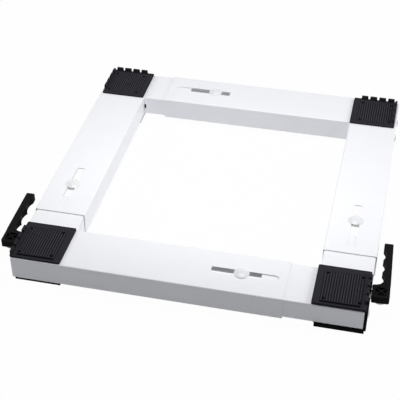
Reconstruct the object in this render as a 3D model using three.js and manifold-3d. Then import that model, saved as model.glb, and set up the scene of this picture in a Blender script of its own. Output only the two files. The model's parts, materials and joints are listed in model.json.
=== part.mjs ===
import * as THREE from 'three';
import { mergeVertices } from 'three/addons/utils/BufferGeometryUtils.js';
import Module from 'manifold-3d';

const wasm = await Module();
wasm.setup();

// A roller base that a washing machine stands on: four corner units with rollers, joined by four
// telescoping steel channels, with a lever handle hinged at each front corner.
// Lengths are in millimetres. X runs to the right, Y to the back and Z up from the floor.

// Overall size across the outer edges of the corner caps
const base_width = 500;
const base_depth = 518;

// Fits and drawing steps
const touch_gap = 0.3;
const overrun = 1;
const arc_steps = 3;

// Telescoping channels, folded from sheet and open below between two lips
const arm_width = 76.5;
const front_width = 79.5;
const arm_height = 36;
const arm_top = 42.3;
const arm_proud = 3.5;
const sheet = 1.2;
const bend_radius = 2;
const lip_width = 4;
const inner_height = 32.2;

// How much of each inner channel and its corner shows past the sleeve's open mouth
const front_exposed = 112;
const back_exposed = 109;
const left_exposed = 114;
const right_exposed = 115;

// Slots along each channel, measured from the sleeve's mouth and across from the outer face
const slot_width = 11.5;
const slot_corner_radius = 0.8;
const sleeve_slot_inset = 11;
const end_slot_length = 96;
const side_slot_length = 99.7;
const front_slot_across = front_width / 2;
const back_slot_across = 35.5;
const left_slot_across = 36;
const right_slot_across = 38;
const front_slot_inset = 36;
const back_slot_inset = 38;
const side_slot_inset = 40.5;
const inner_tail = 30;

// Room in each sleeve between the corner's housing and the tail of the inner channel
const front_room = 69.5;
const back_room = 34;
const side_room = 61;

// Clamp bolts and nuts, with the place of each bolt measured from its sleeve's mouth
const front_bolt_inset = 64;
const back_bolt_inset = 81.5;
const left_bolt_inset = 69;
const right_bolt_inset = 74.5;
const bolt_head_diameter = 22;
const bolt_head_height = 3.8;
const bolt_diameter = 8;
const nut_flats = 13;
const nut_height = 4.6;
const nut_chamfer = 0.6;
const thread_overhang = 2;

// Corner caps and the ribbed mats let into them
const cap_width = 72.5;
const cap_depth = 76.3;
const front_cap_lap = 1.8;
const front_cap_setback = 1.8;
const front_cap_back = 79.5;
const cap_top = 45;
const cap_corner_radius = 2;
const tooth_height = 6;
const tooth_thickness = 3.5;
const tooth_count = 4;
const notch_top = 4;
const notch_bottom = 2.6;
const tooth_row_start = 4.8;
const tooth_row_length = 60;
const back_tooth_row_length = 56.2;
const front_right_tooth_start = 12.7;
const mat_side_inset = 7;
const mat_end_inset = 9.5;
const front_right_mat_inwards = 2;
const front_right_mat_forwards = 1;
const mat_width = 55;
const mat_length = 60.5;
const mat_sheet = 1;
const mat_rib_height = 0.8;
const mat_rib_count = 15;
const mat_seat_depth = 1.4;
const screw_hole_diameter = 4.6;
const screw_side_inset = 9;
const screw_side_spacing = 48.8;
const screw_end_inset = 13.7;
const screw_end_spacing = 51.5;

// Rollers and their axles
const roller_diameter = 37;
const roller_side_gap = 0.5;
const roller_round_gap = 0.8;
const roller_edge = 1.5;
const axle_diameter = 8;
const axle_fit = 0.4;
const axle_head_diameter = 13.5;
const axle_head_height = 1.8;
const axle_end_inset = 23.5;
const axle_spacing = 46;
const axle_tail_wall = 2;

// Roller housings
const housing_bottom = 2.3;
const housing_web = 3;
const housing_outer_inset = 3;
const housing_side_wall = 6.75;
const housing_end_wall = 4.7;
const spigot_reach = 34;
const spigot_wall = 4;
const end_plate = 4;
const end_plate_proud = 1.9;
const end_plate_bottom = 6.3;
const end_plate_pad = 31;
const foot_step_height = 7;
const foot_outer_inset = 0.5;
const foot_inner_reach = 68.4;
const window_width = 2.8;
const window_bottom = 18.5;
const window_height = 8.3;

// Lever handles, drawn from a reference point beside the corner, outwards and to the back
const handle_side_reach = 15;
const handle_end_inset = 46.5;
const handle_bottom = 30.9;
const handle_thickness = 10.9;
const hub_inner = 12.1;
const hub_outer = 12.3;
const hub_front = 13;
const hub_back = 12;
const hub_radius = 2.5;
const bar_outer = 12.6;
const bar_length = 101;
const bar_end_radius = 1.5;
const grip_bump = -0.1;
const grip_valley = 3.5;
const grip_last_bump = 90.4;
const grip_pitch = 25.8;
const grip_count = 2.5;
const grip_steps = 10;
const elbow_reach = 1;
const elbow_place = 14.8;
const pocket_depth = 3;
const pocket_rim = 4.6;
const pocket_rib = 1.3;
const right_handle_turn = 2.1;
const left_handle_turn = 1;

// Hinge of each handle: a steel bracket that the housing holds, and a riveted pin
const pivot_forward = 4;
const bracket_thickness = 2;
const bracket_width = 8;
const bracket_reach = 28;
const bracket_eye_radius = 9;
const pin_diameter = 6;
const pin_fit = 0.6;
const pin_depth = 6.5;
const pin_head_diameter = 8.5;
const pin_head_height = 1.2;

// Heights and widths that follow from the sizes above
const arm_bottom = arm_top - arm_height;
const nest = sheet + touch_gap;
const inner_width = arm_width - 2 * nest;
const front_inner_width = front_width - 2 * nest;
const inner_top = arm_top - nest;
const inner_bottom = inner_top - inner_height;
const front_mouth = base_width - front_exposed;
const back_mouth = base_width - back_exposed;
const left_mouth = base_depth - left_exposed;
const right_mouth = base_depth - right_exposed;
const housing_inner_reach = arm_width - arm_proud - 2 * nest;
const roller_radius = roller_diameter / 2;
const row_centre = arm_width / 2 - arm_proud;
const row_width = arm_width - 4 * nest - 2 * housing_side_wall;
const bay_width = (row_width - housing_web) / 2;
const roller_width = bay_width - 2 * roller_side_gap;
const bay_radius = roller_radius + roller_round_gap;
const bay_top = roller_diameter + roller_round_gap;
const plate_inside = end_plate - end_plate_proud;
const housing_back = axle_end_inset + axle_spacing + bay_radius + housing_end_wall;
const bracket_top = handle_bottom - touch_gap;
const bracket_bottom = bracket_top - bracket_thickness;
const bracket_centre = axle_end_inset + axle_spacing / 2;

const right = new THREE.Vector3(1, 0, 0);
const left = new THREE.Vector3(-1, 0, 0);
const back = new THREE.Vector3(0, 1, 0);
const front = new THREE.Vector3(0, -1, 0);
const up = new THREE.Vector3(0, 0, 1);

// Each cap: its reach along and across, how far its mat and screws are moved, and its row of teeth.
// The front right cap is the front left one turned round.
const back_layout = {
  along: [0, cap_width],
  across: [0, cap_depth],
  shift: [0, 0],
  teeth: [tooth_row_start, tooth_row_start + tooth_row_length],
};
const front_left_layout = {
  along: [-front_cap_lap, cap_width],
  across: [front_cap_setback, front_cap_back],
  shift: [0, 0],
  teeth: [tooth_row_start, tooth_row_start + tooth_row_length],
};
const front_right_layout = {
  along: [0, cap_width + front_cap_lap],
  across: [front_cap_setback, front_cap_back],
  shift: [front_right_mat_inwards, -front_right_mat_forwards],
  teeth: [front_right_tooth_start, front_right_tooth_start + tooth_row_length],
};

// A corner is measured inwards from its outer side (along) and from its outer end (across)
function cornerFrame(side, end, layout) {
  return {
    origin: new THREE.Vector3(side * base_width / 2, end * base_depth / 2, 0),
    along: side > 0 ? left : right,
    across: end > 0 ? front : back,
    side,
    end,
    layout,
  };
}

// A channel is measured from its sleeve's corner (along) and from its outer face (across)
function armFrame(x, y, along, across, slot_across) {
  return { origin: new THREE.Vector3(x, y, 0), along, across, slot_across };
}

const corners = {
  front_left: cornerFrame(-1, -1, front_left_layout),
  front_right: cornerFrame(1, -1, front_right_layout),
  back_left: cornerFrame(-1, 1, back_layout),
  back_right: cornerFrame(1, 1, back_layout),
};
const half_width = base_width / 2;
const half_depth = base_depth / 2;
const arms = {
  front: armFrame(-half_width, -half_depth, right, back, front_slot_across),
  back: armFrame(half_width, half_depth + arm_proud, left, front, back_slot_across),
  left: armFrame(-half_width - arm_proud, half_depth, front, right, left_slot_across),
  right: armFrame(half_width + arm_proud, half_depth, front, left, right_slot_across),
};

const materials = {
  white_steel: new THREE.MeshStandardMaterial({ color: '#eeeef0', roughness: 0.35, metalness: 0 }),
  white_bolt: new THREE.MeshStandardMaterial({ color: '#f2f2f3', roughness: 0.28, metalness: 0 }),
  black_plastic: new THREE.MeshStandardMaterial({ color: '#1d1d1f', roughness: 0.5, metalness: 0 }),
  charcoal_plastic: new THREE.MeshStandardMaterial({ color: '#2b2a2f', roughness: 0.6, metalness: 0 }),
  black_rubber: new THREE.MeshStandardMaterial({ color: '#2a292d', roughness: 0.85, metalness: 0 }),
  grey_nylon: new THREE.MeshStandardMaterial({ color: '#c9c9c6', roughness: 0.5, metalness: 0 }),
  zinc_steel: new THREE.MeshStandardMaterial({ color: '#d3d4d6', roughness: 0.4, metalness: 0.9 }),
};

// A point given in a frame, seen from the frame's origin
function spot(frame, s, a, z) {
  return new THREE.Vector3(0, 0, z).addScaledVector(frame.along, s).addScaledVector(frame.across, a);
}

// A box between two stations along, across and up
function block(frame, s, a, z) {
  const corner = spot(frame, s[0], a[0], z[0]);
  const opposite = spot(frame, s[1], a[1], z[1]);
  const bounds = new THREE.Box3().setFromPoints([corner, opposite]);
  const size = bounds.getSize(new THREE.Vector3());
  const centre = bounds.getCenter(new THREE.Vector3());
  return new THREE.BoxGeometry(size.x, size.y, size.z).translate(centre.x, centre.y, centre.z);
}

// An outline from its corners, each given as [x, y] or, where it is rounded, [x, y, radius]
function outline(points) {
  const drawn = [];
  points.forEach(([x, y, radius = 0], index) => {
    const here = new THREE.Vector2(x, y);
    if (radius === 0) {
      drawn.push(here);
      return;
    }
    const before = points[(index + points.length - 1) % points.length];
    const after = points[(index + 1) % points.length];
    const incoming = new THREE.Vector2(before[0], before[1]).sub(here).normalize();
    const outgoing = new THREE.Vector2(after[0], after[1]).sub(here).normalize();
    const half_angle = Math.acos(incoming.dot(outgoing)) / 2;
    const middle = incoming.clone().add(outgoing).normalize();
    const centre = here.clone().addScaledVector(middle, radius / Math.sin(half_angle));
    const reach = radius / Math.tan(half_angle);
    const start = here.clone().addScaledVector(incoming, reach).sub(centre).angle();
    const stop = here.clone().addScaledVector(outgoing, reach).sub(centre).angle();
    const turn = Math.atan2(Math.sin(stop - start), Math.cos(stop - start));
    for (let step = 0; step <= arc_steps; step += 1) {
      const angle = start + turn * step / arc_steps;
      drawn.push(new THREE.Vector2(Math.cos(angle), Math.sin(angle)).multiplyScalar(radius).add(centre));
    }
  });
  return drawn;
}

// A plate with an outline given along and across the frame
function plate(frame, points, z) {
  const flat = points.map((point) => {
    const place = spot(frame, point.x, point.y, 0);
    return new THREE.Vector2(place.x, place.y);
  });
  const shape = new THREE.Shape(flat);
  const solid = new THREE.ExtrudeGeometry(shape, { depth: z[1] - z[0], bevelEnabled: false });
  return solid.translate(0, 0, z[0]);
}

// A bar whose section is drawn sideways and up, running between two stations
function bar(sideways, run, section, ends) {
  const shape = new THREE.Shape(section);
  const solid = new THREE.ExtrudeGeometry(shape, { depth: ends[1] - ends[0], bevelEnabled: false });
  const mirrored = sideways.clone().cross(up).dot(run) < 0;
  const axis = mirrored ? run.clone().negate() : run;
  solid.translate(0, 0, mirrored ? -ends[1] : ends[0]);
  return solid.applyMatrix4(new THREE.Matrix4().makeBasis(sideways, up, axis));
}

// A round post standing between two heights
function post(place, diameter, z, sides) {
  const solid = new THREE.CylinderGeometry(diameter / 2, diameter / 2, z[1] - z[0], sides);
  solid.rotateX(Math.PI / 2);
  return solid.translate(place.x, place.y, (z[0] + z[1]) / 2);
}

// A round hole that runs along X between two stations of a frame
function crossHole(frame, s, a, diameter) {
  const sides = 12;
  const hole = new THREE.CylinderGeometry(diameter / 2, diameter / 2, s[1] - s[0], sides);
  hole.rotateZ(Math.PI / 2);
  const place = spot(frame, (s[0] + s[1]) / 2, a, roller_radius);
  return hole.translate(place.x, place.y, place.z);
}

// Cuts and joins
function toSolid(geometry) {
  const bare = geometry.clone();
  bare.deleteAttribute('normal');
  bare.deleteAttribute('uv');
  const merged = mergeVertices(bare);
  const vertProperties = new Float32Array(merged.attributes.position.array);
  const triVerts = new Uint32Array(merged.index.array);
  return new wasm.Manifold(new wasm.Mesh({ numProp: 3, vertProperties, triVerts }));
}

function toGeometry(solid) {
  const mesh = solid.getMesh();
  const geometry = new THREE.BufferGeometry();
  geometry.setAttribute('position', new THREE.BufferAttribute(mesh.vertProperties, 3));
  geometry.setIndex(new THREE.BufferAttribute(mesh.triVerts, 1));
  const flat = geometry.toNonIndexed();
  flat.computeVertexNormals();
  return flat;
}

function shaped(added, removed) {
  const whole = added.map(toSolid).reduce((sum, piece) => sum.add(piece));
  const carved = removed.map(toSolid).reduce((rest, piece) => rest.subtract(piece), whole);
  return toGeometry(carved);
}

function named(name, geometry, material) {
  const mesh = new THREE.Mesh(geometry, material);
  mesh.name = name;
  return mesh;
}

// Screw places of a cap, which move with its mat
function screwPlaces(frame) {
  const [inwards, backwards] = frame.layout.shift;
  const rows = [screw_side_inset, screw_side_inset + screw_side_spacing];
  const ends = [screw_end_inset, screw_end_inset + screw_end_spacing];
  return rows.flatMap((s) => ends.map((a) => spot(frame, s + inwards, a + backwards, 0)));
}

function screwHoles(frame, z) {
  const hole_sides = 6;
  return screwPlaces(frame).map((place) => post(place, screw_hole_diameter, z, hole_sides));
}

// The folded section of a channel: flat top, two walls and two lips that turn in below
function channelSection(inset, width, bottom, top) {
  const far = inset + width;
  const inside_radius = bend_radius - sheet;
  return outline([
    [inset + lip_width, bottom],
    [inset, bottom, bend_radius],
    [inset, top, bend_radius],
    [far, top, bend_radius],
    [far, bottom, bend_radius],
    [far - lip_width, bottom],
    [far - lip_width, bottom + sheet],
    [far - sheet, bottom + sheet, inside_radius],
    [far - sheet, top - sheet, inside_radius],
    [inset + sheet, top - sheet, inside_radius],
    [inset + sheet, bottom + sheet, inside_radius],
    [inset + lip_width, bottom + sheet],
  ]);
}

// A slot through the top of a channel: square at its start, and round or square at its other end
function slotCut(frame, [start, stop], end_radius = slot_corner_radius) {
  const near = frame.slot_across - slot_width / 2;
  const far = frame.slot_across + slot_width / 2;
  const corners_of_slot = outline([
    [start, near, slot_corner_radius],
    [stop, near, end_radius],
    [stop, far, end_radius],
    [start, far, slot_corner_radius],
  ]);
  return plate(frame, corners_of_slot, [inner_top - sheet - overrun, arm_top + overrun]);
}

// The slot of a sleeve ends in a round towards the mouth
function sleeveSlot(frame, mouth, length) {
  const stop = mouth - sleeve_slot_inset;
  return slotCut(frame, [stop - length, stop], slot_width / 2);
}

function innerSlot(start, mouth, inset) {
  return [start + inner_tail, mouth - inset];
}

// The two lips cut away over a housing, leaving the walls
function lipCut(frame, s, inset, width, bottom) {
  return block(frame, s, [inset + sheet, inset + width - sheet], [bottom - overrun, bottom + bend_radius]);
}

// Each corner says which channel runs through it and which one butts against that channel
const through_sleeve = { inset: 0, bottom: arm_bottom, top: arm_top };
const through_inner = { inset: nest, bottom: inner_bottom, top: inner_top };

// The clear height inside a channel, kept a seat's gap off its sheet
function insideHeight(channel) {
  return [channel.bottom + nest, channel.top - nest];
}

// The clear width inside a channel, kept a seat's gap off its walls
function insideWidth(channel, width = arm_width) {
  return [channel.inset + nest, width - channel.inset - nest];
}

const side_inside = insideWidth(through_inner).map((a) => a - arm_proud);
const front_window_top = inner_top - sheet;

// Front channels: the back wall is open over the corner for the second pair of rollers
function frontWindow(s, channel) {
  const face = front_width - channel.inset;
  const wall = [face - sheet - overrun, face + overrun];
  return block(arms.front, s, wall, [channel.bottom - overrun, front_window_top]);
}

const window_reach = side_inside[1] + touch_gap;

function frontSleeve() {
  const frame = arms.front;
  const section = channelSection(0, front_width, arm_bottom, arm_top);
  const body = bar(frame.across, frame.along, section, [0, front_mouth]);
  return shaped([body], [
    sleeveSlot(frame, front_mouth, end_slot_length),
    lipCut(frame, [-overrun, housing_inner_reach + touch_gap], 0, front_width, arm_bottom),
    frontWindow([-overrun, window_reach], through_sleeve),
    ...screwHoles(corners.front_left, [arm_top - sheet - overrun, arm_top + overrun]),
  ]);
}

function frontInner() {
  const frame = arms.front;
  const start = housing_inner_reach + front_room;
  const stop = base_width - plate_inside - touch_gap;
  const section = channelSection(nest, front_inner_width, inner_bottom, inner_top);
  const body = bar(frame.across, frame.along, section, [start, stop]);
  const corner_start = base_width - housing_inner_reach - touch_gap;
  const holes = screwHoles(corners.front_right, [inner_top - sheet - overrun, inner_top + overrun]);
  return shaped([body], [
    slotCut(frame, innerSlot(start, front_mouth, front_slot_inset)),
    lipCut(frame, [corner_start, stop + overrun], nest, front_inner_width, inner_bottom),
    frontWindow([base_width - window_reach, stop + overrun], through_inner),
    ...holes.map((hole) => hole.translate(base_width, 0, 0)),
  ]);
}

// Side sleeves run through the back corners and open sideways for the housing's spigot
function sideSleeve(frame, corner, mouth, spigot_channel) {
  const section = channelSection(0, arm_width, arm_bottom, arm_top);
  const body = bar(frame.across, frame.along, section, [0, mouth]);
  const [spigot_low, spigot_high] = insideHeight(spigot_channel);
  const spigot_edge = insideWidth(spigot_channel)[1] - arm_proud;
  const shift = corner.origin.clone().sub(frame.origin);
  const axle_holes = [axle_end_inset, axle_end_inset + axle_spacing].map((v) => {
    const through_wall = [-arm_proud - overrun, sheet + overrun - arm_proud];
    return crossHole(corner, through_wall, v, axle_diameter + 2 * axle_fit);
  });
  const holes = [...axle_holes, ...screwHoles(corner, [arm_top - sheet - overrun, arm_top + overrun])];
  return shaped([body], [
    sleeveSlot(frame, mouth, side_slot_length),
    lipCut(frame, [-overrun, housing_back + touch_gap], 0, arm_width, arm_bottom),
    block(frame, [-overrun, spigot_edge + touch_gap], [arm_width - sheet - overrun, arm_width + overrun],
      [spigot_low - touch_gap, spigot_high + touch_gap]),
    ...holes.map((hole) => hole.translate(shift.x, shift.y, 0)),
  ]);
}

// Side inner channels start at the back of the front channel and stay clear of the axles' heads
function sideInner(frame, corner, mouth) {
  const start = housing_back + side_room;
  const stop = base_depth - front_width - touch_gap;
  const section = channelSection(nest, inner_width, inner_bottom, inner_top);
  const body = bar(frame.across, frame.along, section, [start, stop]);
  const corner_start = base_depth - housing_back - touch_gap;
  const shift = corner.origin.clone().sub(frame.origin);
  const outer_wall = [nest - arm_proud - overrun, nest + sheet - arm_proud + overrun];
  const head_room = axle_head_diameter / 2 + touch_gap;
  const head_notches = [axle_end_inset, axle_end_inset + axle_spacing].map((v) => {
    const heights = [inner_bottom - overrun, roller_radius + head_room];
    return block(corner, outer_wall, [v - head_room, v + head_room], heights);
  });
  return shaped([body], [
    slotCut(frame, innerSlot(start, mouth, side_slot_inset)),
    lipCut(frame, [corner_start, stop + overrun], nest, inner_width, inner_bottom),
    ...head_notches.map((notch) => notch.translate(shift.x, shift.y, 0)),
  ]);
}

// Back channels butt against the side sleeves
const back_butt = arm_width - arm_proud + touch_gap;

function backSleeve() {
  const frame = arms.back;
  const section = channelSection(0, arm_width, arm_bottom, arm_top);
  const body = bar(frame.across, frame.along, section, [back_butt, back_mouth]);
  return shaped([body], [
    sleeveSlot(frame, back_mouth, end_slot_length),
  ]);
}

function backInner() {
  const frame = arms.back;
  const start = insideWidth(through_sleeve)[1] - arm_proud + spigot_reach + back_room;
  const stop = base_width - back_butt;
  const section = channelSection(nest, inner_width, inner_bottom, inner_top);
  const body = bar(frame.across, frame.along, section, [start, stop]);
  const front_wall = [arm_width - nest - sheet - overrun, arm_width - nest + overrun];
  return shaped([body], [
    slotCut(frame, innerSlot(start, back_mouth, back_slot_inset)),
    block(frame, [stop - window_width, stop + overrun], front_wall,
      [window_bottom, window_bottom + window_height]),
  ]);
}

// A corner cap: a plate with a seat for its mat, screw holes and toothed outer edges
function capGeometry(frame, seat) {
  const r = cap_corner_radius;
  const { along, across, shift, teeth } = frame.layout;
  const edge = outline([
    [along[0], across[0], r], [along[1], across[0], r], [along[1], across[1], r], [along[0], across[1], r],
  ]);
  const pieces = [
    plate(frame, edge, [seat, cap_top]),
    bar(frame.across, frame.along, toothSection(teeth), [along[0], along[0] + tooth_thickness]),
  ];
  if (frame.end > 0) {
    const back_teeth = [tooth_row_start, tooth_row_start + back_tooth_row_length];
    pieces.push(bar(frame.along, frame.across, toothSection(back_teeth), [0, tooth_thickness]));
  }
  const mat_start = [mat_side_inset + shift[0], mat_end_inset + shift[1]];
  const mat_seat = block(frame, [mat_start[0] - touch_gap, mat_start[0] + mat_width + touch_gap],
    [mat_start[1] - touch_gap, mat_start[1] + mat_length + touch_gap],
    [cap_top - mat_seat_depth, cap_top + overrun]);
  return shaped(pieces, [mat_seat, ...screwHoles(frame, [seat - overrun, cap_top + overrun])]);
}

// The toothed rail seen from its side: teeth with notches that narrow towards the cap
function toothSection([first, last]) {
  const pitch = (last - first + notch_top) / tooth_count;
  const high = cap_top + tooth_height;
  const slope = (notch_top - notch_bottom) / 2;
  const points = [[first, cap_top - overrun], [first + slope, high]];
  for (let notch = 1; notch < tooth_count; notch += 1) {
    const end_of_tooth = first + notch * pitch - notch_top;
    points.push([end_of_tooth, high]);
    points.push([end_of_tooth + slope, cap_top]);
    points.push([end_of_tooth + slope + notch_bottom, cap_top]);
    points.push([end_of_tooth + notch_top, high]);
  }
  points.push([last - slope, high], [last, cap_top - overrun]);
  return points.map(([x, y]) => new THREE.Vector2(x, y));
}

// The mat: a thin rubber sheet with ribs that run from front to back
function matGeometry(frame) {
  const seat = cap_top - mat_seat_depth;
  const floor = seat + mat_sheet;
  const high = floor + mat_rib_height;
  const pitch = mat_width / mat_rib_count;
  const section = [[0, seat], [0, floor]];
  for (let rib = 0; rib < mat_rib_count; rib += 1) {
    const near = (rib + 1 / 4) * pitch;
    section.push([near, floor], [near, high], [near + pitch / 2, high], [near + pitch / 2, floor]);
  }
  section.push([mat_width, floor], [mat_width, seat]);
  const [inwards, backwards] = frame.layout.shift;
  const drawn = section.map(([x, y]) => new THREE.Vector2(mat_side_inset + inwards + x, y));
  const start = mat_end_inset + backwards;
  const body = bar(frame.along, frame.across, drawn, [start, start + mat_length]);
  return shaped([body], screwHoles(frame, [seat - overrun, high + overrun]));
}

// A housing holds four rollers in four bays, on two axles
function housingBays(frame) {
  const cuts = [];
  for (const v of [axle_end_inset, axle_end_inset + axle_spacing]) {
    for (const shift of [-housing_web / 2 - bay_width, housing_web / 2]) {
      const start = row_centre + shift;
      cuts.push(block(frame, [start, start + bay_width], [v - bay_radius, v + bay_radius],
        [housing_bottom - overrun, bay_top]));
    }
  }
  return cuts;
}

// Bores for both axles, with a recess where a head would meet the housing's side
function axleBores(frame, outer, head_face, inner) {
  const from = outer - overrun;
  const bore = axle_diameter + 2 * axle_fit;
  const recess = axle_head_diameter + 2 * touch_gap;
  return [axle_end_inset, axle_end_inset + axle_spacing].flatMap((v) => [
    crossHole(frame, [from, inner - axle_tail_wall], v, bore),
    crossHole(frame, [from, head_face], v, recess),
  ]);
}

function screwPilots(frame, top) {
  const pilot_sides = 6;
  const heights = [bay_top - overrun, top + overrun];
  return screwPlaces(frame).map((place) => post(place, screw_hole_diameter * 2 / 3, heights, pilot_sides));
}

// Front housing: a box in the front channel that carries on into the side channel
function frontHousing(frame, channel, outer, foot) {
  const width = insideWidth(channel, front_width);
  const height = insideHeight(channel);
  const side_height = insideHeight(through_inner);
  const pieces = [
    block(frame, [outer, foot.upper], width, [foot_step_height, height[1]]),
    block(frame, [foot.outer, foot.inner], [channel.inset + foot.front, width[1]],
      [housing_bottom, foot_step_height + overrun]),
    block(frame, [housing_outer_inset, side_inside[1]], [width[1] - overrun, housing_back],
      [housing_bottom, side_height[0] + overrun]),
    block(frame, side_inside, [width[1] - overrun, housing_back], side_height),
  ];
  return { pieces, top: height[1] };
}

function bracketSlot(frame, outer) {
  const half = bracket_width / 2 + touch_gap;
  return block(frame, [outer - overrun, bracket_reach + touch_gap],
    [bracket_centre - half, bracket_centre + half],
    [bracket_bottom - touch_gap, bracket_top + touch_gap]);
}

function frontLeftHousing() {
  const frame = corners.front_left;
  const reach = housing_inner_reach;
  const foot = { upper: reach, outer: housing_outer_inset, inner: reach, front: nest };
  const { pieces, top } = frontHousing(frame, through_sleeve, housing_outer_inset, foot);
  return shaped(pieces, [
    ...housingBays(frame),
    ...axleBores(frame, side_inside[0], housing_outer_inset, reach),
    ...screwPilots(frame, top),
    bracketSlot(frame, housing_outer_inset),
  ]);
}

// Its end plate stands proud of the cap, and stays low where the handle's hub swings past
function frontRightHousing() {
  const frame = corners.front_right;
  const upper = housing_inner_reach;
  const foot = { upper, outer: foot_outer_inset, inner: foot_inner_reach, front: -nest };
  const { pieces, top } = frontHousing(frame, through_inner, plate_inside, foot);
  const [near, far] = [through_inner.inset, front_width - through_inner.inset];
  const inside = insideWidth(through_inner, front_width);
  const plate_top = inner_top - touch_gap;
  const pad = [-end_plate_proud, overrun];
  pieces.push(block(frame, [0, plate_inside + overrun], inside, [end_plate_bottom, top]));
  pieces.push(block(frame, [0, plate_inside], [near, far], [end_plate_bottom, plate_top]));
  pieces.push(block(frame, pad, [near, end_plate_pad], [end_plate_bottom, plate_top]));
  pieces.push(block(frame, pad, [near, far], [end_plate_bottom, bracket_bottom - 2 * touch_gap]));
  return shaped(pieces, [
    ...housingBays(frame),
    ...axleBores(frame, -end_plate_proud, -end_plate_proud, upper),
    ...screwPilots(frame, top),
    bracketSlot(frame, 0),
  ]);
}

// Back housing: a box in the side sleeve with a hollow spigot that enters the back channel
function backHousing(frame, spigot_channel) {
  const width = insideWidth(through_sleeve).map((a) => a - arm_proud);
  const height = insideHeight(through_sleeve);
  const spigot_height = insideHeight(spigot_channel);
  const spigot_edge = insideWidth(spigot_channel)[1] - arm_proud;
  const spigot_stop = width[1] + spigot_reach;
  const body = block(frame, width, [touch_gap, housing_back], [housing_bottom, height[1]]);
  const spigot = block(frame, [width[1] - overrun, spigot_stop], [touch_gap, spigot_edge], spigot_height);
  const hollow = block(frame, [width[1] + spigot_wall, spigot_stop + overrun],
    [touch_gap + spigot_wall, spigot_edge - spigot_wall],
    [spigot_height[0] - overrun, spigot_height[1] - spigot_wall]);
  return shaped([body, spigot], [
    hollow,
    ...housingBays(frame),
    ...axleBores(frame, width[0], width[0], width[1]),
    ...screwPilots(frame, height[1]),
  ]);
}

// Turned pieces are drawn about Y, then laid along X or stood along Z
function turned(profile, sides, start = 0) {
  return new THREE.LatheGeometry(profile.map(([x, y]) => new THREE.Vector2(x, y)), sides, start);
}

// A roller stands on one of its flats, so its size is kept across them
function rollerGeometry() {
  const sides = 16;
  const corner_radius = roller_radius / Math.cos(Math.PI / sides);
  const bore = axle_diameter / 2 + axle_fit;
  const half = roller_width / 2;
  const profile = [
    [bore, -half],
    [corner_radius - roller_edge, -half],
    [corner_radius, roller_edge - half],
    [corner_radius, half - roller_edge],
    [corner_radius - roller_edge, half],
    [bore, half],
    [bore, -half],
  ];
  return turned(profile, sides, Math.PI / sides);
}

// An axle with a domed head, drawn from the tip of its head inwards
function axleGeometry(length) {
  const head = axle_head_diameter / 2;
  const shank = axle_diameter / 2;
  const edge = axle_head_height / 3;
  const profile = [
    [0, length],
    [shank, length],
    [shank, 0],
    [head, 0],
    [head, -edge],
    [head * 2 / 3, -axle_head_height + edge / 3],
    [0, -axle_head_height],
  ].reverse();
  const sides = 12;
  return turned(profile, sides);
}

// A clamp bolt with a low domed head, drawn from its threaded end up
const bolt_length = nest + sheet + 2 * touch_gap + nut_height + thread_overhang;

function boltGeometry() {
  const head = bolt_head_diameter / 2;
  const shank = bolt_diameter / 2;
  const profile = [
    [0, -bolt_length],
    [shank, -bolt_length],
    [shank, 0],
    [head, 0],
    [head, bolt_head_height / 4],
    [head * 4 / 5, bolt_head_height * 2 / 3],
    [head / 2, bolt_head_height * 11 / 12],
    [0, bolt_head_height],
  ];
  const sides = 16;
  return turned(profile, sides);
}

// A square nut with chamfered edges, drawn down from its top face
function nutGeometry() {
  const half = nut_flats / 2;
  const square = [[-1, -1], [1, -1], [1, 1], [-1, 1]].map(([x, y]) => new THREE.Vector2(x * half, y * half));
  const shape = new THREE.Shape(square);
  const bore = new THREE.Path();
  bore.absarc(0, 0, bolt_diameter / 2 + touch_gap, 0, 2 * Math.PI);
  shape.holes.push(bore);
  const solid = new THREE.ExtrudeGeometry(shape, {
    depth: nut_height - 2 * nut_chamfer,
    bevelThickness: nut_chamfer,
    bevelSize: nut_chamfer,
    bevelOffset: -nut_chamfer,
    bevelSegments: 1,
    curveSegments: 8,
  });
  return toGeometry(toSolid(solid.translate(0, 0, nut_chamfer - nut_height)));
}

// Handle: points run outwards (x) and to the back (y) from its reference point
function handleOutline() {
  const grip_depth = grip_valley - grip_bump;
  const grip_half = grip_pitch / 2;
  const grip_radius = (grip_half ** 2 + grip_depth ** 2) / (2 * grip_depth);
  const points = [
    [-hub_inner, -hub_front, hub_radius],
    [hub_outer, -hub_front, hub_radius],
    [hub_outer, hub_back],
    [bar_outer, hub_back + hub_radius],
    [bar_outer, bar_length, bar_end_radius],
    [grip_bump, bar_length, bar_end_radius],
  ];
  const count = grip_count * grip_steps;
  for (let step = 0; step <= count; step += 1) {
    const place = grip_last_bump - grip_pitch * step / grip_steps;
    const from_middle = grip_half * (2 * (step % grip_steps) / grip_steps - 1);
    const rise = grip_radius - Math.sqrt(grip_radius ** 2 - from_middle ** 2);
    points.push([grip_valley - rise, place]);
  }
  const elbow_rise = elbow_place - hub_back;
  points.push([grip_valley - elbow_reach, elbow_place + 2 * elbow_rise]);
  points.push([-elbow_reach, elbow_place]);
  points.push([-elbow_reach - 2 * elbow_rise, hub_back + elbow_rise / 8]);
  points.push([-hub_inner, hub_back, hub_radius]);
  return outline(points);
}

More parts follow.
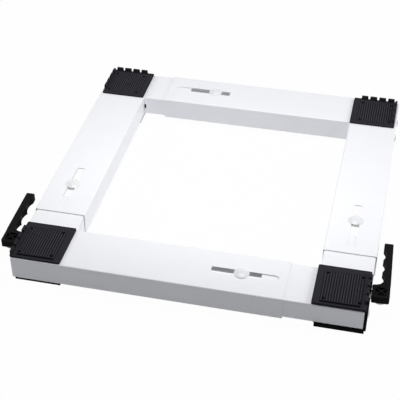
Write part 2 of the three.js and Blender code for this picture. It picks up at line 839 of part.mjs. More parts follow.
// Four triangular pockets in the top of the hub leave two crossing ribs
function hubPockets(top) {
  const inner = -hub_inner + pocket_rim;
  const outer = hub_outer - pocket_rim;
  const near = -hub_front + pocket_rim;
  const far = hub_back - pocket_rim;
  const mid_x = (inner + outer) / 2;
  const mid_y = (near + far) / 2;
  const triangles = [
    [[inner + pocket_rib, near], [outer - pocket_rib, near], [mid_x, mid_y - pocket_rib]],
    [[inner + pocket_rib, far], [outer - pocket_rib, far], [mid_x, mid_y + pocket_rib]],
    [[inner, near + pocket_rib], [inner, far - pocket_rib], [mid_x - pocket_rib, mid_y]],
    [[outer, near + pocket_rib], [outer, far - pocket_rib], [mid_x + pocket_rib, mid_y]],
  ];
  return triangles.map((points) => ({ points: outline(points), z: [top - pocket_depth, top + overrun] }));
}

// The handle's frame runs outwards and to the back, with its origin on the hinge
function handleGeometry(side) {
  const frame = { along: side > 0 ? right : left, across: back };
  const top = handle_bottom + handle_thickness;
  const shift = (points) => points.map((point) => point.clone().add(new THREE.Vector2(0, pivot_forward)));
  const body = plate(frame, shift(handleOutline()), [handle_bottom, top]);
  const pockets = hubPockets(top).map(({ points, z }) => plate(frame, shift(points), z));
  const bore = post(new THREE.Vector3(), pin_diameter + pin_fit,
    [handle_bottom - overrun, handle_bottom + pin_depth + touch_gap], 12);
  return shaped([body], [...pockets, bore]);
}

function bracketGeometry(side) {
  const frame = corners[side > 0 ? 'front_right' : 'front_left'];
  const half = bracket_width / 2;
  const heights = [bracket_bottom, bracket_top];
  const eye_sides = 20;
  const eye = post(spot(frame, -handle_side_reach, handle_end_inset - pivot_forward, 0),
    2 * bracket_eye_radius, heights, eye_sides);
  const tongue = block(frame, [-handle_side_reach, bracket_reach],
    [bracket_centre - half, bracket_centre + half], heights);
  const hole = post(spot(frame, -handle_side_reach, handle_end_inset - pivot_forward, 0),
    pin_diameter + pin_fit, [bracket_bottom - overrun, bracket_top + overrun], 12);
  return shaped([eye, tongue], [hole]);
}

// A rivet pin that hangs its head under the bracket
function pinGeometry() {
  const head = pin_head_diameter / 2;
  const shank = pin_diameter / 2;
  const low = bracket_bottom - touch_gap;
  const profile = [
    [0, low - pin_head_height],
    [head - pin_head_height / 2, low - pin_head_height],
    [head, low - pin_head_height / 2],
    [head, low],
    [shank, low],
    [shank, handle_bottom + pin_depth],
    [0, handle_bottom + pin_depth],
  ];
  const sides = 12;
  return turned(profile, sides);
}

// Placing the pieces: one group for each body that moves on its own
const group = new THREE.Group();

function seatAt(parent, origin) {
  const seat = new THREE.Group();
  seat.position.copy(origin);
  parent.add(seat);
  return seat;
}

const bodies = {};
for (const corner of Object.keys(corners)) {
  bodies[corner] = new THREE.Group();
  group.add(bodies[corner]);
}

function addCorner(corner, cap_seat, housing, head_face, inner_face) {
  const frame = corners[corner];
  const seat = seatAt(bodies[corner], frame.origin);
  seat.add(named(`cap_${corner}`, capGeometry(frame, cap_seat), materials.charcoal_plastic));
  seat.add(named(`mat_${corner}`, matGeometry(frame), materials.black_rubber));
  seat.add(named(`housing_${corner}`, housing, materials.black_plastic));
  let roller = 0;
  [axle_end_inset, axle_end_inset + axle_spacing].forEach((v, index) => {
    const start = head_face - touch_gap;
    const length = inner_face - axle_tail_wall - touch_gap - start;
    const axle = named(`axle_${corner}_${index + 1}`, axleGeometry(length), materials.zinc_steel);
    axle.position.copy(spot(frame, start, v, roller_radius));
    axle.rotation.z = frame.side * Math.PI / 2;
    seat.add(axle);
    for (const shift of [-1, 1]) {
      roller += 1;
      const place = row_centre + shift * (housing_web / 2 + bay_width / 2);
      const wheel = named(`roller_${corner}_${roller}`, rollerGeometry(), materials.grey_nylon);
      const hub = new THREE.Group();
      hub.position.copy(spot(frame, place, v, roller_radius));
      hub.rotation.z = Math.PI / 2;
      hub.add(wheel);
      seat.add(hub);
    }
  });
}

const side_sleeve_inside = insideWidth(through_sleeve).map((a) => a - arm_proud);
addCorner('front_left', arm_top, frontLeftHousing(), housing_outer_inset, housing_inner_reach);
addCorner('front_right', inner_top, frontRightHousing(), -end_plate_proud, housing_inner_reach);
addCorner('back_left', arm_top, backHousing(corners.back_left, through_inner), -arm_proud,
  side_sleeve_inside[1]);
addCorner('back_right', arm_top, backHousing(corners.back_right, through_sleeve), -arm_proud,
  side_sleeve_inside[1]);

// Each channel belongs to the corner that it is fixed to
const left_sleeve = sideSleeve(arms.left, corners.back_left, left_mouth, through_inner);
const right_sleeve = sideSleeve(arms.right, corners.back_right, right_mouth, through_sleeve);
const channels = [
  ['sleeve_front', 'front_left', 'front', frontSleeve()],
  ['inner_front', 'front_right', 'front', frontInner()],
  ['sleeve_back', 'back_right', 'back', backSleeve()],
  ['inner_back', 'back_left', 'back', backInner()],
  ['sleeve_left', 'back_left', 'left', left_sleeve],
  ['inner_left', 'front_left', 'left', sideInner(arms.left, corners.front_left, left_mouth)],
  ['sleeve_right', 'back_right', 'right', right_sleeve],
  ['inner_right', 'front_right', 'right', sideInner(arms.right, corners.front_right, right_mouth)],
];
for (const [name, body, arm, geometry] of channels) {
  seatAt(bodies[body], arms[arm].origin).add(named(name, geometry, materials.white_steel));
}

// Clamps: a bolt down through both slots of each arm, and a nut below the inner channel
const clamps = [
  ['front', front_mouth - front_bolt_inset],
  ['back', back_mouth - back_bolt_inset],
  ['left', left_mouth - left_bolt_inset],
  ['right', right_mouth - right_bolt_inset],
];
for (const [arm, station] of clamps) {
  const frame = arms[arm];
  const seat = seatAt(group, frame.origin.clone().add(spot(frame, station, frame.slot_across, 0)));
  const bolt = named(`clamp_bolt_${arm}`, boltGeometry(), materials.white_bolt);
  bolt.position.z = arm_top + touch_gap;
  bolt.rotation.x = Math.PI / 2;
  const nut = named(`clamp_nut_${arm}`, nutGeometry(), materials.zinc_steel);
  nut.position.z = inner_top - sheet - touch_gap;
  seat.add(bolt, nut);
}

// Handles, each turned a little on its hinge as it stands at rest
for (const [side, hand, turn] of [[-1, 'left', left_handle_turn], [1, 'right', right_handle_turn]]) {
  const corner = `front_${hand}`;
  const frame = corners[corner];
  const hinge = seatAt(group, frame.origin.clone().add(
    spot(frame, -handle_side_reach, handle_end_inset - pivot_forward, 0)));
  const handle = named(`handle_${hand}`, handleGeometry(side), materials.black_plastic);
  handle.rotation.z = turn * Math.PI / 180;
  hinge.add(handle);
  const bracket_seat = seatAt(bodies[corner], frame.origin);
  bracket_seat.add(named(`handle_bracket_${hand}`, bracketGeometry(side), materials.white_steel));
  const pin_seat = seatAt(bodies[corner], hinge.position);
  const pin = named(`handle_pin_${hand}`, pinGeometry(), materials.zinc_steel);
  pin.rotation.x = Math.PI / 2;
  pin_seat.add(pin);
}

// The origin is under the middle of the whole base, on the floor
const span = new THREE.Box3().setFromObject(group);
const middle = span.getCenter(new THREE.Vector3());
group.position.set(-middle.x, -middle.y, 0);

export default group;
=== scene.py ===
# %% [markdown]
# A roller base carries a washing machine so that it can be pulled out from the wall. Four corner
# units stand on nylon rollers, and four arms of folded steel join them. The model already gives
# each piece its true size and place, so this lesson is about edges, finishes and light. Each piece
# is made again with soft edges and small details, and takes the place of the plain one.

# %% Load the model
import json
from math import acos, cos, degrees, pi, radians, sin

import bmesh
import bpy
from mathutils import Matrix, Vector


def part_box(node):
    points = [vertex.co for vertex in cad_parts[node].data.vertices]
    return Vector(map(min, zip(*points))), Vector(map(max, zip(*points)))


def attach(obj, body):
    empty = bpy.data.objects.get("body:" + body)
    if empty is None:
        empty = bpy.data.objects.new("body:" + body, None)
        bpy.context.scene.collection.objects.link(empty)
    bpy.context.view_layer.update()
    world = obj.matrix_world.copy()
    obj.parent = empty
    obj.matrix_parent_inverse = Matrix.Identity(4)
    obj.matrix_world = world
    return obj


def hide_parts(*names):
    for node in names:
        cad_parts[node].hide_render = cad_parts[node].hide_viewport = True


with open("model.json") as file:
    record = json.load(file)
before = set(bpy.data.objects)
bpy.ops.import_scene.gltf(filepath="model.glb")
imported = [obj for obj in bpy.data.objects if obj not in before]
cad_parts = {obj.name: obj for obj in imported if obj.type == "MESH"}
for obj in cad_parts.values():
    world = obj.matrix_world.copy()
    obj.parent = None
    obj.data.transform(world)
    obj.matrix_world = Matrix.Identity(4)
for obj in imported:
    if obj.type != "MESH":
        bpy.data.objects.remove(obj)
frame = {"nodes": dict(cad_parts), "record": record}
scene = bpy.context.scene
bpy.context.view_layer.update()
mm = 0.001

# %% [markdown]
# Colours are written as hex values, as they read on a screen. Cycles works in linear light, so one
# function turns them. Another adds a node with its settings and what feeds its sockets.

# %% Colours and nodes
def linear(hex_colour):
    channels = [int(hex_colour[place:place + 2], 16) / 255 for place in (1, 3, 5)]
    turned = [c / 12.92 if c <= 0.04045 else ((c + 0.055) / 1.055) ** 2.4 for c in channels]
    return (*turned, 1.0)


def add_node(tree, kind, settings=(), sockets=()):
    node = tree.nodes.new(kind)
    for name, value in dict(settings).items():
        setattr(node, name, value)
    for name, value in dict(sockets).items():
        if isinstance(value, bpy.types.NodeSocket):
            tree.links.new(value, node.inputs[name])
        else:
            node.inputs[name].default_value = value
    return node


print("mid grey in linear light:", round(linear("#808080")[0], 3))

# %% [markdown]
# The camera stands in front of the right half, about 1.3 metres in front of the middle and 1 metre
# up, and looks down at 38 degrees with a long lens. Such a lens keeps the far arm nearly as large
# as the near one.

# %% Camera
camera_data = bpy.data.cameras.new("camera")
camera_data.sensor_width = 36
camera_data.lens = 93.83
camera = bpy.data.objects.new("camera", camera_data)
scene.collection.objects.link(camera)
camera.location = (0.26125, -1.27385, 1.012)
camera.rotation_euler = (radians(51.7916), radians(0.2308), radians(12.9117))
camera_data.clip_start, camera_data.clip_end = 0.05, 60
scene.camera = camera
scene.view_settings.view_transform = "Standard"
print("camera at", tuple(camera.location))

# %% [markdown]
# White steel on white paper is drawn by its shaded sides alone. A soft box hangs over the middle of
# the frame, so tops read white and the faces that look at the camera fall to grey. A second box
# stands to the right and lifts the faces that look that way. A weaker one on the left keeps that
# side from going black in other views. A small low one over the open middle faces the back arm,
# whose front is the brightest of the faces that look this way.

# %% Lamps
def add_lamp(name, place, size, power, target=(0, 0, 0)):
    lamp_data = bpy.data.lights.new(name, "AREA")
    lamp_data.shape = "RECTANGLE"
    lamp_data.size, lamp_data.size_y = size
    lamp_data.energy = power
    lamp = bpy.data.objects.new(name, lamp_data)
    lamp.location = place
    lamp.rotation_euler = (Vector(target) - Vector(place)).to_track_quat("-Z", "Y").to_euler()
    lamp.visible_camera = False
    scene.collection.objects.link(lamp)


add_lamp("top_box", (-0.03, 0.1, 1.7), (1.0, 0.7), 13.6)
add_lamp("right_box", (1.7, 0.3, 0.8), (1.2, 0.8), 17)
add_lamp("left_box", (-1.7, 0.3, 0.9), (1.2, 0.8), 10)
add_lamp("middle_box", (0.0, -0.14, 0.36), (0.5, 0.1), 0.72, target=(0, 0.25, 0.06))

# %% [markdown]
# The base stands on a light table: a sheet of white acrylic, lit softly from below, which is how a
# thin white object is photographed without hard shadows. The camera sees it mostly as its own even
# white, with a small share of real shading left in, which keeps a soft shadow under the arms. The
# object gets a weaker glow from it, which fills the open channels from below. The surroundings are
# white to the camera too, and weak for the object. A light path node tells which ray is asking.

# %% Floor and surroundings
glow_on_object, glow_in_view = 0.26, 0.98
sky_on_object, sky_in_view = 0.1, 1.0
floor_half = 12


def asked_by(tree, *rays):
    path = add_node(tree, "ShaderNodeLightPath")
    asked = path.outputs[rays[0]]
    for ray in rays[1:]:
        larger = add_node(tree, "ShaderNodeMath", {"operation": "MAXIMUM"},
                          {0: asked, 1: path.outputs[ray]})
        asked = larger.outputs[0]
    return asked


def table_material():
    material = bpy.data.materials.new("white_acrylic_table")
    material.use_nodes = True
    tree = material.node_tree
    tree.nodes.clear()
    share = add_node(tree, "ShaderNodeMapRange", (),
                     {"Value": asked_by(tree, "Is Camera Ray", "Is Glossy Ray"),
                      "To Min": glow_on_object, "To Max": glow_in_view})
    sheet = add_node(tree, "ShaderNodeBsdfDiffuse", (), {"Color": linear("#d3d5da")})
    glow = add_node(tree, "ShaderNodeEmission", (), {"Color": (1, 1, 1, 1), "Strength": 1.0})
    mixed = add_node(tree, "ShaderNodeMixShader", (),
                     {0: share.outputs[0], 1: sheet.outputs[0], 2: glow.outputs[0]})
    add_node(tree, "ShaderNodeOutputMaterial", (), {"Surface": mixed.outputs[0]})
    return material


floor_mesh = bmesh.new()
bmesh.ops.create_grid(floor_mesh, x_segments=1, y_segments=1, size=floor_half)
floor_data = bpy.data.meshes.new("floor")
floor_mesh.to_mesh(floor_data)
floor_mesh.free()
floor_data.materials.append(table_material())
floor = bpy.data.objects.new("floor", floor_data)
scene.collection.objects.link(floor)

world = bpy.data.worlds.new("studio")
scene.world = world
world.use_nodes = True
world.node_tree.nodes.clear()
seen = asked_by(world.node_tree, "Is Camera Ray", "Is Glossy Ray", "Is Transmission Ray")
strength = add_node(world.node_tree, "ShaderNodeMapRange", (),
                    {"Value": seen, "To Min": sky_on_object, "To Max": sky_in_view})
sky = add_node(world.node_tree, "ShaderNodeBackground", (),
               {"Color": (1, 1, 1, 1), "Strength": strength.outputs[0]})
add_node(world.node_tree, "ShaderNodeOutputWorld", (), {"Surface": sky.outputs[0]})
print("floor and surroundings are white to the camera")

# %% [markdown]
# Most pieces share one recipe of nodes. A wide noise shifts the colour a little, as handling and
# dust do, a middle noise shifts the gloss, and a fine noise lifts the surface as its grain. What
# changes from one finish to the next is the real size of that grain and how deep it is.

# %% Recipe for a finish
colour_patch, gloss_patch = 0.045, 0.012


def finish_material(name, colour, second, roughness, spread, grain, depth, ior=1.5, metallic=0.0,
                    specular=0.5, stretch=(1, 1, 1)):
    """grain and depth are the real size and height of the surface's grain, in metres"""
    material = bpy.data.materials.new(name)
    material.use_nodes = True
    tree = material.node_tree
    tree.nodes.clear()
    place = add_node(tree, "ShaderNodeTexCoord")
    scaled = add_node(tree, "ShaderNodeMapping", (),
                      {"Vector": place.outputs["Object"], "Scale": stretch})
    wide = add_node(tree, "ShaderNodeTexNoise", (),
                    {"Vector": place.outputs["Object"], "Scale": 1 / colour_patch, "Detail": 3,
                     "Roughness": 0.6})
    colours = add_node(tree, "ShaderNodeMix", {"data_type": "RGBA"},
                       {0: wide.outputs["Fac"], 6: linear(colour), 7: linear(second)})
    middle = add_node(tree, "ShaderNodeTexNoise", (),
                      {"Vector": scaled.outputs[0], "Scale": 1 / gloss_patch, "Detail": 4,
                       "Roughness": 0.65})
    gloss = add_node(tree, "ShaderNodeMapRange", (),
                     {"Value": middle.outputs["Fac"], "From Min": 0.3, "From Max": 0.7,
                      "To Min": roughness - spread, "To Max": roughness + spread})
    fine = add_node(tree, "ShaderNodeTexNoise", (),
                    {"Vector": scaled.outputs[0], "Scale": 1 / grain, "Detail": 2,
                     "Roughness": 0.5})
    bump = add_node(tree, "ShaderNodeBump", (),
                    {"Height": fine.outputs["Fac"], "Strength": 1.0, "Distance": depth})
    surface = add_node(tree, "ShaderNodeBsdfPrincipled", (),
                       {"Base Color": colours.outputs[2], "Roughness": gloss.outputs[0],
                        "Metallic": metallic, "IOR": ior, "Specular IOR Level": specular,
                        "Normal": bump.outputs[0]})
    add_node(tree, "ShaderNodeOutputMaterial", (), {"Surface": surface.outputs[0]})
    return material


print("colour patches and gloss patches in metres:", colour_patch, gloss_patch)

# %% [markdown]
# The channels are mild steel with a white powder coat, melted on in an oven. It flows out to a
# smooth, slightly wavy skin that painters call orange peel, with waves near 1.5 millimetres long.
# The bolt heads wear a smoother enamel, a shade greyer, so that they stand out from the tops.

# %% White powder coat
powder_coat = finish_material("white_powder_coat", "#f0f1f4", "#ebecf0", 0.36, 0.05,
                              grain=1.5 * mm, depth=0.02 * mm)
bolt_enamel = finish_material("white_bolt_enamel", "#e5e6e8", "#e0e1e4", 0.28, 0.04,
                              grain=1.0 * mm, depth=0.01 * mm)
print("finishes:", powder_coat.name, bolt_enamel.name)

# %% [markdown]
# The caps are ABS from a spark-eroded mould, which leaves a dull, even grain of about 0.4
# millimetres. It scatters the shine so widely that hardly any comes back, which is why the specular
# level is so low. The handles are polypropylene with a satin skin, and the housings below the arms
# are the same plastic, duller with floor dust. Grain this fine is drawn a little coarser.

# %% Black plastics
cap_abs = finish_material("charcoal_grained_abs", "#2c2b30", "#302f34", 0.7, 0.06,
                          grain=0.7 * mm, depth=0.05 * mm, ior=1.52, specular=0.014)
satin_polypropylene = finish_material("satin_black_polypropylene", "#0d0d0e", "#121213", 0.55,
                                      0.07, grain=0.9 * mm, depth=0.03 * mm, ior=1.49,
                                      specular=0.035)
dull_polypropylene = finish_material("dull_black_polypropylene", "#141415", "#1a1a1a", 0.7, 0.07,
                                     grain=0.9 * mm, depth=0.03 * mm, ior=1.49, specular=0.012)
print("finishes:", cap_abs.name, satin_polypropylene.name, dull_polypropylene.name)

# %% [markdown]
# The mats are black rubber, and the tops of the ribs are painted lighter than the dark valleys, as
# painted sheen on the tops and painted shade in the valleys. The height above the floor tells the
# two apart: the colour follows Object Z up a rib's side, and another noise keeps the sheen uneven.

# %% Ribbed rubber
rib_sheen_patch = 0.016


def rubber_material(low, high):
    material = finish_material("ribbed_rubber", "#201f23", "#242327", 0.85, 0.05,
                               grain=0.5 * mm, depth=0.03 * mm, ior=1.52, specular=0.02)
    tree = material.node_tree
    surface = next(node for node in tree.nodes if node.type == "BSDF_PRINCIPLED")
    valley = surface.inputs["Base Color"].links[0].from_socket
    place = next(node for node in tree.nodes if node.type == "TEX_COORD")
    height = add_node(tree, "ShaderNodeSeparateXYZ", (), {0: place.outputs["Object"]})
    patches = add_node(tree, "ShaderNodeTexNoise", (),
                       {"Vector": place.outputs["Object"], "Scale": 1 / rib_sheen_patch, "Detail": 3})
    # painted sheen: the rib tops get a lighter colour than the plain rubber of the valleys
    painted_rib_sheen = add_node(tree, "ShaderNodeMix", {"data_type": "RGBA"},
                     {0: patches.outputs["Fac"], 6: linear("#37363b"), 7: linear("#454449")})
    # the mask by height puts the painted sheen on the rib tops and leaves painted shade in the
    # valleys
    rise = add_node(tree, "ShaderNodeMapRange", {"interpolation_type": "SMOOTHSTEP"},
                    {"Value": height.outputs["Z"], "From Min": low, "From Max": high})
    colour = add_node(tree, "ShaderNodeMix", {"data_type": "RGBA"},
                      {0: rise.outputs[0], 6: valley, 7: painted_rib_sheen.outputs[2]})
    tree.links.new(colour.outputs[2], surface.inputs["Base Color"])
    return material


mat_rubber = rubber_material(44.85 * mm, 45.3 * mm)
print("finish:", mat_rubber.name)

# %% [markdown]
# Axles, pins and nuts are steel with a bright zinc plate. Zinc is a metal finish, so it has no
# colour of its own below the shine, and its grain is drawn out along the axle as the turning tool
# left it. The rollers are turned nylon, and the cap screws are blackened steel that is matt from
# the bath of hot salts.

# %% Zinc, nylon and black screws
zinc_plate = finish_material("bright_zinc_plate", "#d5d6d8", "#c4c6ca", 0.34, 0.08,
                             grain=0.8 * mm, depth=0.01 * mm, metallic=1.0, stretch=(0.2, 1, 1))
turned_nylon = finish_material("turned_nylon", "#cbcbc7", "#bfbfba", 0.46, 0.06,
                               grain=0.8 * mm, depth=0.02 * mm, ior=1.53, stretch=(3, 0.5, 0.5))
black_oxide = finish_material("black_oxide_steel", "#0b0b0c", "#080809", 0.6, 0.08,
                              grain=0.5 * mm, depth=0.01 * mm, specular=0.05)
print("finishes:", zinc_plate.name, turned_nylon.name, black_oxide.name)

# %% [markdown]
# Moulded and folded pieces already have the right outline. A copy of each is merged and its flat
# faces are joined, its sharp edges get a small round, and smooth shading runs over the bends. The
# round is what catches a line of light along an edge, and without it a solid looks like paper.
# Smooth shading would bleed from a round over the wide flats, so a modifier weights each corner's
# normal by the size of its faces.

# %% Softened copies
record = frame["record"]
node_body = {node: body for body, nodes in record["behaviour"]["bodies"].items() for node in nodes}


def merged_copy(node):
    made = bmesh.new()
    made.from_mesh(frame["nodes"][node].data)
    bmesh.ops.remove_doubles(made, verts=made.verts, dist=0.02 * mm)
    bmesh.ops.dissolve_limit(made, angle_limit=radians(1), verts=made.verts, edges=made.edges)
    return made


def bevel(made, edges, width, segments):
    bmesh.ops.bevel(made, geom=edges, offset=width, offset_type="OFFSET", segments=segments,
                    profile=0.5, affect="EDGES", material=-1, clamp_overlap=True)


def sharp_edges(made, angle):
    return [edge for edge in made.edges
            if len(edge.link_faces) == 2 and edge.calc_face_angle(0) > radians(angle)]


def finish_piece(made, name, material, *nodes, body=None, slot=None, smooth=35):
    data = bpy.data.meshes.new(name)
    made.to_mesh(data)
    made.free()
    data.materials.append(material)
    data.shade_smooth()
    data.set_sharp_from_angle(angle=radians(smooth))
    piece = bpy.data.objects.new(name, data)
    scene.collection.objects.link(piece)
    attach(piece, body or node_body[nodes[0]])
    if nodes:
        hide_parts(*nodes)
    return piece


def flatten_shading(piece):
    weighted = piece.modifiers.new("weighted_normals", "WEIGHTED_NORMAL")
    weighted.keep_sharp = True


print("nodes to finish:", len(node_body))

# %% [markdown]
# The channels are sheet 1.2 millimetres thick, folded with a bend of 2 millimetres. Their cut edges
# are only broken, so their round is tiny.

# %% Channels
arms = ("front", "back", "left", "right")
for arm in arms:
    for kind in ("sleeve", "inner"):
        node = f"{kind}_{arm}"
        channel = merged_copy(node)
        bevel(channel, sharp_edges(channel, 60), 0.2 * mm, segments=1)
        piece = finish_piece(channel, f"{arm}_{kind}_channel", powder_coat, node, smooth=38)
        flatten_shading(piece)
        print(piece.name, len(piece.data.polygons), "faces")

# %% [markdown]
# On the front caps a groove runs between the mat and a thin lip, and the lip slopes down to the
# front. Four cuts part a strip of the cap's top from the rest, and an inset with depth sinks it.
# The slope is a bevel of one segment on the edges that lie along the front.

# %% Groove and slope of the front caps
cap_top, level = 45 * mm, 0.05 * mm


def cut_faces(made, faces, place, across):
    edges = dict.fromkeys(edge for face in faces for edge in face.edges)
    verts = dict.fromkeys(vert for face in faces for vert in face.verts)
    bmesh.ops.bisect_plane(made, geom=[*faces, *edges, *verts], dist=0.001 * mm,
                           plane_co=place, plane_no=across)


def cap_top_faces(made):
    return [face for face in made.faces
            if face.normal.z > 0.9 and abs(face.calc_center_median().z - cap_top) < level]


def cut_groove(made, corner, lip=2.6 * mm, land=0.8 * mm, side=0.2 * mm, deep=2.0 * mm):
    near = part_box(f"cap_{corner}")[0].y + lip
    mat_low, mat_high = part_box(f"mat_{corner}")
    far = mat_low.y - land
    for y in (near, far):
        cut_faces(made, cap_top_faces(made), (0, y, 0), (0, 1, 0))
    for x in (mat_low.x, mat_high.x):
        cut_faces(made, cap_top_faces(made), (x, 0, 0), (1, 0, 0))
    strip = [face for face in cap_top_faces(made)
             if near < face.calc_center_median().y < far
             and mat_low.x < face.calc_center_median().x < mat_high.x]
    bmesh.ops.inset_region(made, faces=strip, thickness=side, depth=-deep, use_even_offset=True,
                           use_boundary=True)
    return len(strip)


def slope_front(made, corner, reach=2.05 * mm, width=1.6 * mm):
    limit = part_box(f"cap_{corner}")[0].y + reach
    edges = [edge for edge in sharp_edges(made, 50)
             if all(abs(vert.co.z - cap_top) < level and vert.co.y < limit
                    for vert in edge.verts)]
    bevel(made, edges, width, segments=1)
    return len(edges)


print("cap tops lie at", round(cap_top / mm, 1), "mm")

# %% [markdown]
# The caps and the housings below them are mouldings, and no moulded edge is quite sharp. A cap's
# edges have a round of half a millimetre in two segments, because it is seen from near by. The
# housings show little, so theirs is smaller and has one. Where rounds meet on the slope of a front
# cap they leave vertices on top of each other, which are merged.

# %% Caps and housings
corners = ("front_left", "front_right", "back_left", "back_right")
for corner in corners:
    cap = merged_copy(f"cap_{corner}")
    in_front = corner.startswith("front")
    if in_front:
        print(corner, "groove cut from", cut_groove(cap, corner), "faces")
        print(corner, "front edge sloped along", slope_front(cap, corner), "edges")
    bevel(cap, sharp_edges(cap, 50), 0.5 * mm, segments=2)
    if in_front:
        bmesh.ops.remove_doubles(cap, verts=cap.verts, dist=0.01 * mm)
    flatten_shading(finish_piece(cap, f"{corner}_cap_moulding", cap_abs, f"cap_{corner}"))
    housing = merged_copy(f"housing_{corner}")
    bevel(housing, sharp_edges(housing, 60), 0.35 * mm, segments=1)
    piece = finish_piece(housing, f"{corner}_roller_housing", dull_polypropylene,
                         f"housing_{corner}")
    flatten_shading(piece)
    print(piece.name, len(piece.data.polygons), "faces")

# %% [markdown]
# Each mat has long ribs from front to back, and shallow grooves cut them across into pads, so that
# a rubber foot can't creep either way. The ribs' tops are split where the grooves run, lowered, and
# then inset and raised again, which leaves a groove with sloped sides between the pads.

# %% Mats
def mat_with_pads(node, pitch=3.56 * mm, groove=0.45 * mm, deep=0.35 * mm):
    made = merged_copy(node)
    low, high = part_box(node)
    count = round((high.y - low.y) / pitch)
    step = (high.y - low.y) / count

    def rib_tops():
        return [face for face in made.faces
                if face.normal.z > 0.9 and face.calc_center_median().z > high.z - deep / 2]

    for line in range(1, count):
        cut_faces(made, rib_tops(), (0, low.y + line * step, 0), (0, 1, 0))
    tops = rib_tops()
    verts = list(dict.fromkeys(vert for face in tops for vert in face.verts))
    bmesh.ops.translate(made, verts=verts, vec=(0, 0, -deep))
    made.normal_update()
    bmesh.ops.inset_individual(made, faces=tops, thickness=groove / 2, depth=deep,
                               use_even_offset=True)
    return made


for corner in corners:
    mat = mat_with_pads(f"mat_{corner}")
    piece = finish_piece(mat, f"{corner}_ribbed_mat", mat_rubber, f"mat_{corner}", smooth=30)
    print(piece.name, len(piece.data.polygons), "faces")

# %% [markdown]
# Turned pieces are drawn as half a profile and spun round their axis in one full turn. The profile
# gives distance from the axis and height along it.

# %% Spinning a profile
def spun(profile, steps=32):
    made = bmesh.new()
    verts = [made.verts.new((radius, 0, height)) for radius, height in profile]
    edges = [made.edges.new(pair) for pair in zip(verts, verts[1:])]
    bmesh.ops.spin(made, geom=verts + edges, cent=(0, 0, 0), axis=(0, 0, 1), angle=2 * pi,
                   steps=steps, use_merge=True)
    bmesh.ops.remove_doubles(made, verts=made.verts, dist=0.005 * mm)
    bmesh.ops.recalc_face_normals(made, faces=made.faces)
    return made


def arc(centre, radius, start, stop, steps):
    turns = [radians(start + (stop - start) * step / steps) for step in range(steps + 1)]
    return [(centre[0] + radius * cos(turn), centre[1] + radius * sin(turn)) for turn in turns]


def lay_along_x(made, way=1):
    bmesh.ops.rotate(made, verts=made.verts, cent=(0, 0, 0),
                     matrix=Matrix.Rotation(way * pi / 2, 3, "Y"))


def move(made, place):
    bmesh.ops.translate(made, verts=made.verts, vec=place)


print("points on a test arc:", len(arc((0, 0), mm, 0, 90, 4)))

# %% [markdown]
# A roller is turned from nylon bar: a flat tread with rounded shoulders, a face dished a little
# between the tread and the hub, and a bore for the axle. Sixteen alike turn on eight axles.

# %% Rollers
roller_radius, roller_half, axle_bore = 18.5 * mm, 13 * mm, 4.4 * mm


def roller_mesh(hub=8.5 * mm, rim=15.3 * mm, dish=1.0 * mm, slope=0.8 * mm, shoulder=1.6 * mm,
                broken=0.3 * mm):
    side = [(axle_bore, roller_half - broken), (axle_bore + broken, roller_half),
            (hub, roller_half), (hub + slope, roller_half - dish),
            (rim - slope, roller_half - dish), (rim, roller_half)]
    upper = side + arc((roller_radius - shoulder, roller_half - shoulder), shoulder, 90, 0, 5)
    lower = [(radius, -height) for radius, height in reversed(upper)]
    return spun(upper + lower + [upper[0]], steps=48)


for corner in corners:
    for number in (1, 2, 3, 4):
        node = f"roller_{corner}_{number}"
        low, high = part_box(node)
        roller = roller_mesh()
        lay_along_x(roller)
        move(roller, (low + high) / 2)
        finish_piece(roller, f"{corner}_nylon_roller_{number}", turned_nylon, node)

# %% [markdown]
# An axle is a plain rivet: a shank 8 millimetres thick with a low domed head that stays outside the
# corner. The heads are what shows of it from the side. The dome is an arc of the sphere that is as
# wide as the head and as high as its rise.

# %% Axles
axle_rise = 1.8 * mm


def dome(head, rise, top, steps):
    sphere = (head ** 2 + rise ** 2) / (2 * rise)
    reach = degrees(acos((sphere - rise) / sphere))
    return arc((0, top - sphere), sphere, 90, 90 - reach, steps)


def axle_mesh(length, head=6.75 * mm, shank=4.0 * mm, rim=0.15 * mm, broken=0.4 * mm):
    head_points = dome(head, axle_rise, axle_rise, 8)[:-1] + [(head, rim), (head, 0)]
    shank_points = [(shank, 0), (shank, broken - length), (shank - broken, -length), (0, -length)]
    return spun(head_points + shank_points, steps=40)


for corner in corners:
    outwards = 1 if corner.endswith("right") else -1
    for number in (1, 2):
        node = f"axle_{corner}_{number}"
        low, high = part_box(node)
        axle = axle_mesh(high.x - low.x - axle_rise)
        lay_along_x(axle, outwards)
        seat_x = high.x - axle_rise if outwards > 0 else low.x + axle_rise
        centre = (low + high) / 2
        move(axle, (seat_x, centre.y, centre.z))
        finish_piece(axle, f"{corner}_rivet_axle_{number}", zinc_plate, node)

# %% [markdown]
# A clamp bolt has a wide, low dome that spans the slot, painted white like the channels. Its shank
# is threaded where the nut runs on it, and the thread is drawn as rings 1.25 millimetres apart. The
# nut is a square one, zinc plated, with chamfered edges.

# %% Clamp bolts
bolt_head_height = 3.8 * mm


def bolt_mesh(length, head=11 * mm, rise=3.3 * mm, wall=0.25 * mm, under=0.2 * mm, shank=4 * mm,
              plain=3.5 * mm, pitch=1.25 * mm, thread=0.6 * mm):
    points = dome(head, rise - wall, rise, 10)
    points += [(head, 0), (head - under, -under), (shank, -under), (shank, -plain)]
    height = -plain
    while height - pitch > -length:
        points += [(shank - thread, height - pitch / 2), (shank, height - pitch)]
        height -= pitch
    points += [(shank - thread, -length), (0, -length)]
    return spun(points, steps=48)


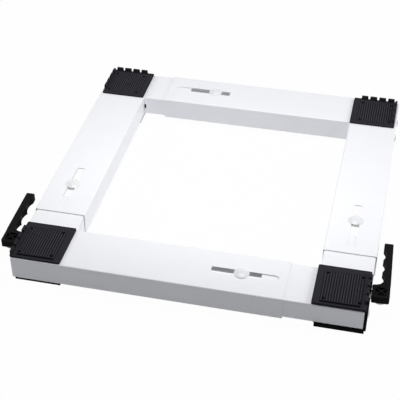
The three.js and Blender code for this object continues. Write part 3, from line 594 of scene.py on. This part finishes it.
for arm in arms:
    node = f"clamp_bolt_{arm}"
    low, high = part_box(node)
    bolt = bolt_mesh(high.z - low.z - bolt_head_height)
    centre = (low + high) / 2
    move(bolt, (centre.x, centre.y, high.z - bolt_head_height))
    finish_piece(bolt, f"{arm}_clamp_bolt_dome", bolt_enamel, node)
    nut = merged_copy(f"clamp_nut_{arm}")
    bevel(nut, sharp_edges(nut, 40), 0.15 * mm, segments=2)
    finish_piece(nut, f"{arm}_clamp_nut_square", zinc_plate, f"clamp_nut_{arm}", smooth=30)
    print(f"{arm} clamp stands {round(high.z / mm, 1)} mm high")

# %% [markdown]
# The handles are mouldings too: a hub with four pockets that leave crossed ribs, and a bar with a
# row of grooves for the fingers. The edges that a hand meets are rounded most. A painted bracket
# holds each handle, which turns on a rivet.

# %% Handles and their hinges
pin_profile = [(0, 0), (3.4, 0), (4.0, 0.3), (4.2, 0.8), (4.2, 1.2), (3, 1.2)]
pin_radius, pin_broken = 3 * mm, 0.3 * mm
for side in ("left", "right"):
    handle = merged_copy(f"handle_{side}")
    bevel(handle, sharp_edges(handle, 55), 0.7 * mm, segments=3)
    piece = finish_piece(handle, f"{side}_lever_handle", satin_polypropylene, f"handle_{side}",
                         smooth=40)
    flatten_shading(piece)
    bracket = merged_copy(f"handle_bracket_{side}")
    bevel(bracket, sharp_edges(bracket, 60), 0.2 * mm, segments=1)
    finish_piece(bracket, f"{side}_hinge_bracket", powder_coat, f"handle_bracket_{side}")
    low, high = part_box(f"handle_pin_{side}")
    top = high.z - low.z
    head_points = [(radius * mm, height * mm) for radius, height in pin_profile]
    pin = spun(head_points + [(pin_radius, top - pin_broken), (pin_radius - pin_broken, top),
                              (0, top)])
    move(pin, ((low.x + high.x) / 2, (low.y + high.y) / 2, low.z))
    finish_piece(pin, f"{side}_hinge_rivet", zinc_plate, f"handle_pin_{side}")

# %% [markdown]
# Four screws hold each cap. Their blackened heads sit down in the holes at the mat's corners, and
# each has a round recess for the driver in its middle. From above they read as four dark dots.

# %% Cap screws
screw_profile = [(0, 0), (2.15, 0), (2.15, 0.35), (1.9, 0.8), (1.35, 1.1), (0.9, 1.1), (0.9, 0.6),
                 (0, 0.6)]
screw_insets_x, screw_insets_y = (2 * mm, 50.8 * mm), (4.2 * mm, 55.7 * mm)
screw_seat = 42.7 * mm
for corner in corners:
    mat_low, mat_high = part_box(f"mat_{corner}")
    places = [(inset_x, inset_y) for inset_x in screw_insets_x for inset_y in screw_insets_y]
    for number, (inset_x, inset_y) in enumerate(places, start=1):
        x = mat_high.x - inset_x if corner.endswith("right") else mat_low.x + inset_x
        y = mat_low.y + inset_y if corner.startswith("front") else mat_high.y - inset_y
        screw = spun([(radius * mm, height * mm) for radius, height in screw_profile], steps=16)
        move(screw, (x, y, screw_seat))
        finish_piece(screw, f"{corner}_cap_screw_{number}", black_oxide,
                     body=node_body[f"cap_{corner}"], slot="zinc_steel")
